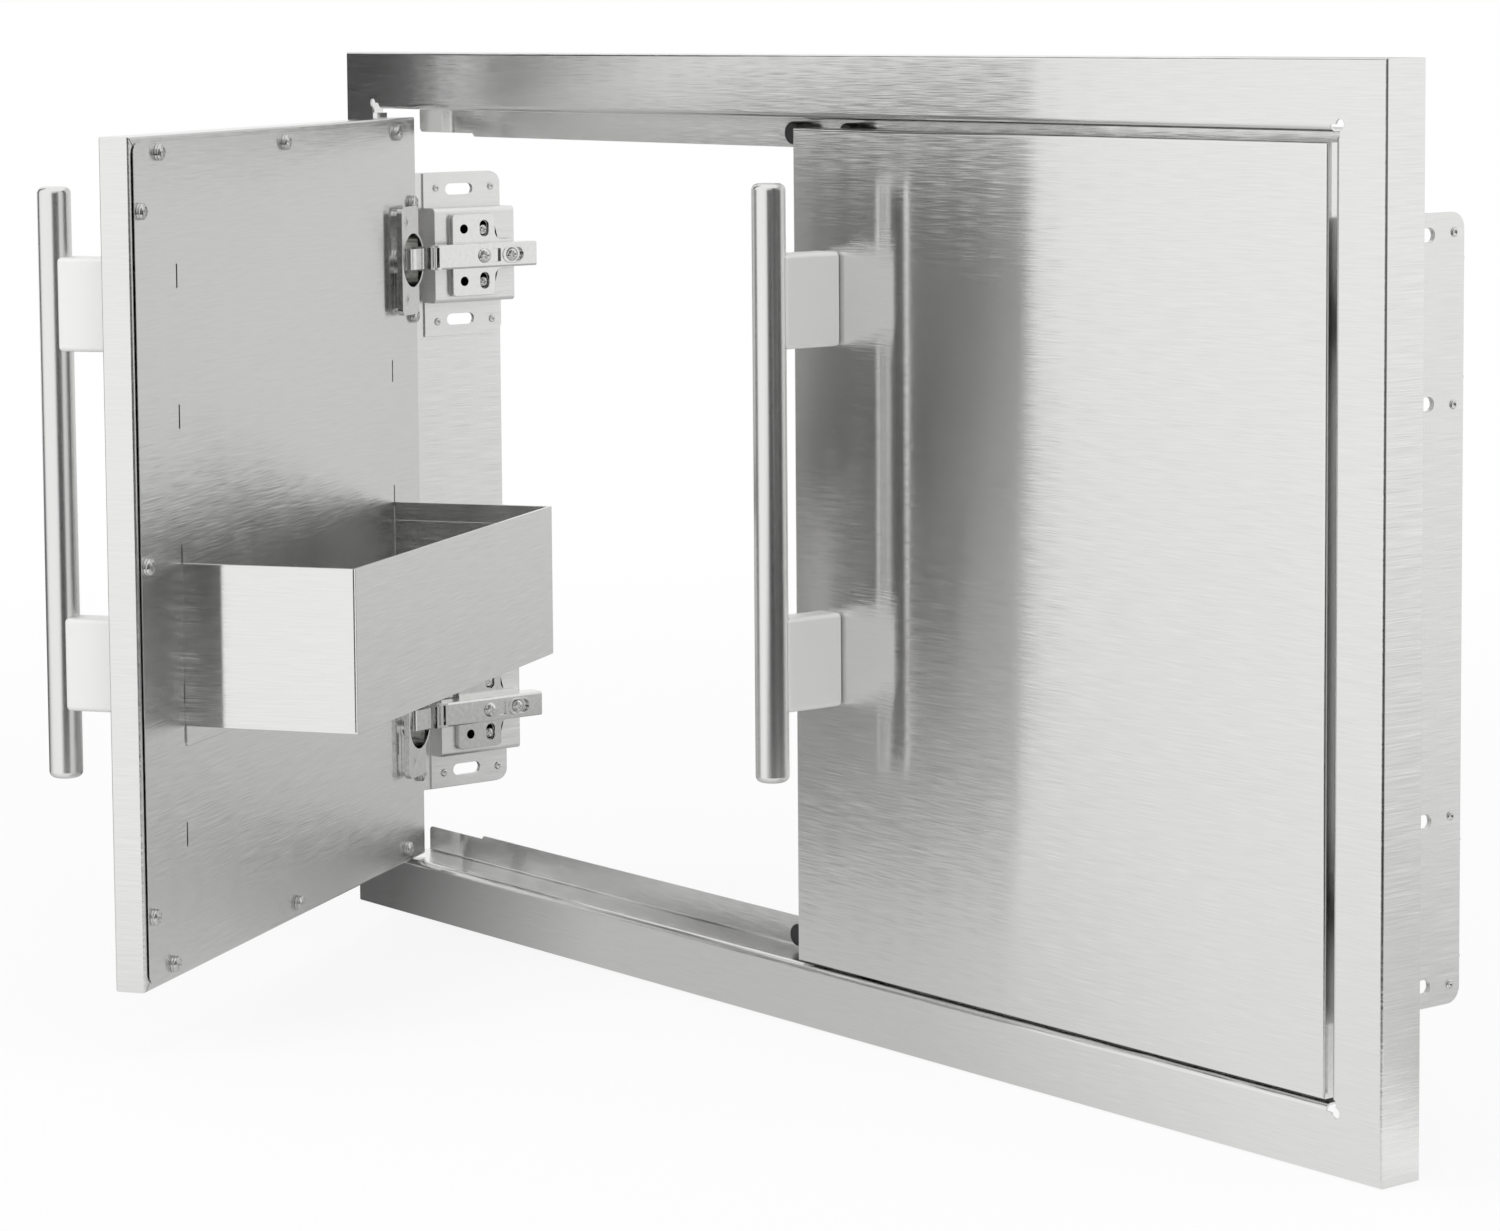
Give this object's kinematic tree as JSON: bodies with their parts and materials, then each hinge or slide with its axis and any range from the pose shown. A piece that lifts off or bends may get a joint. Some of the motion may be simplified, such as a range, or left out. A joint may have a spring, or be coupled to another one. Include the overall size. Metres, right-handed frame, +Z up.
{
  "type": "double access door",
  "caption": "Stainless steel double access door for an outdoor kitchen island: folded face frame, doors on concealed hinges, bar handles and a tray behind the left door.",
  "frame": {"origin": "centre of the face frame, on the plane of the wall that the frame's rear rim bears on", "axes": "+X along the frame to the right seen from the front, +Y back into the island, +Z up"},
  "size_m": [0.864, 0.425, 0.525],
  "materials": {
    "brushed_stainless": "fine horizontal grain",
    "bracket_steel": "mill finish sheet",
    "hinge_nickel": "satin nickel plate",
    "screw_steel": "machined",
    "bumper_rubber": "black, matt"
  },
  "bodies": {
    "frame": {"face_frame": "brushed_stainless", "left_side_plate": "bracket_steel", "right_side_plate": "bracket_steel", "left_upper_hinge_bracket": "bracket_steel", "left_lower_hinge_bracket": "bracket_steel", "right_upper_hinge_bracket": "bracket_steel", "right_lower_hinge_bracket": "bracket_steel", "bracket_rivets": "hinge_nickel", "left_upper_mounting_plate": "hinge_nickel", "left_lower_mounting_plate": "hinge_nickel", "right_upper_mounting_plate": "hinge_nickel", "right_lower_mounting_plate": "hinge_nickel", "mounting_plate_screws": "hinge_nickel", "left_upper_hinge_arm": "hinge_nickel", "left_lower_hinge_arm": "hinge_nickel", "right_upper_hinge_arm": "hinge_nickel", "right_lower_hinge_arm": "hinge_nickel", "hinge_arm_screws": "hinge_nickel", "hinge_arm_pins": "hinge_nickel", "door_bumpers": "bumper_rubber"},
    "left_door": {"left_door_skin": "brushed_stainless", "left_back_panel": "brushed_stainless", "left_panel_screws": "screw_steel", "left_upper_hinge_cup": "hinge_nickel", "left_lower_hinge_cup": "hinge_nickel", "left_cup_screws": "hinge_nickel", "left_handle_bar": "brushed_stainless", "left_handle_upper_post": "brushed_stainless", "left_handle_lower_post": "brushed_stainless", "left_handle_screws": "screw_steel", "left_door_tray": "brushed_stainless"},
    "left_links": {"left_hinge_links": "hinge_nickel", "left_link_pins": "hinge_nickel"},
    "right_door": {"right_door_skin": "brushed_stainless", "right_back_panel": "brushed_stainless", "right_panel_screws": "screw_steel", "right_upper_hinge_cup": "hinge_nickel", "right_lower_hinge_cup": "hinge_nickel", "right_cup_screws": "hinge_nickel", "right_handle_bar": "brushed_stainless", "right_handle_upper_post": "brushed_stainless", "right_handle_lower_post": "brushed_stainless", "right_handle_screws": "screw_steel"},
    "right_links": {"right_hinge_links": "hinge_nickel", "right_link_pins": "hinge_nickel"}
  },
  "joints": [
    {"name": "left_door_swing", "type": "hinge", "parent": "frame", "child": "left_door", "pos_m": [-0.39, -0.026, 0], "axis": [0, 0, -1], "range_deg": [-56, 39]},
    {"name": "right_door_swing", "type": "hinge", "parent": "frame", "child": "right_door", "pos_m": [0.39, -0.026, 0], "axis": [0, 0, 1], "range_deg": [0, 95]},
    {"name": "left_link_turn", "type": "hinge", "parent": "frame", "child": "left_links", "pos_m": [-0.39, -0.026, 0], "axis": [0, 0, -1], "range_deg": [-28, 19.5]},
    {"name": "right_link_turn", "type": "hinge", "parent": "frame", "child": "right_links", "pos_m": [0.39, -0.026, 0], "axis": [0, 0, 1], "range_deg": [0, 47.5]}
  ],
  "couplings": [
    {"joint": "left_link_turn", "follows": "left_door_swing", "ratio": 0.5},
    {"joint": "right_link_turn", "follows": "right_door_swing", "ratio": 0.5}
  ]
}
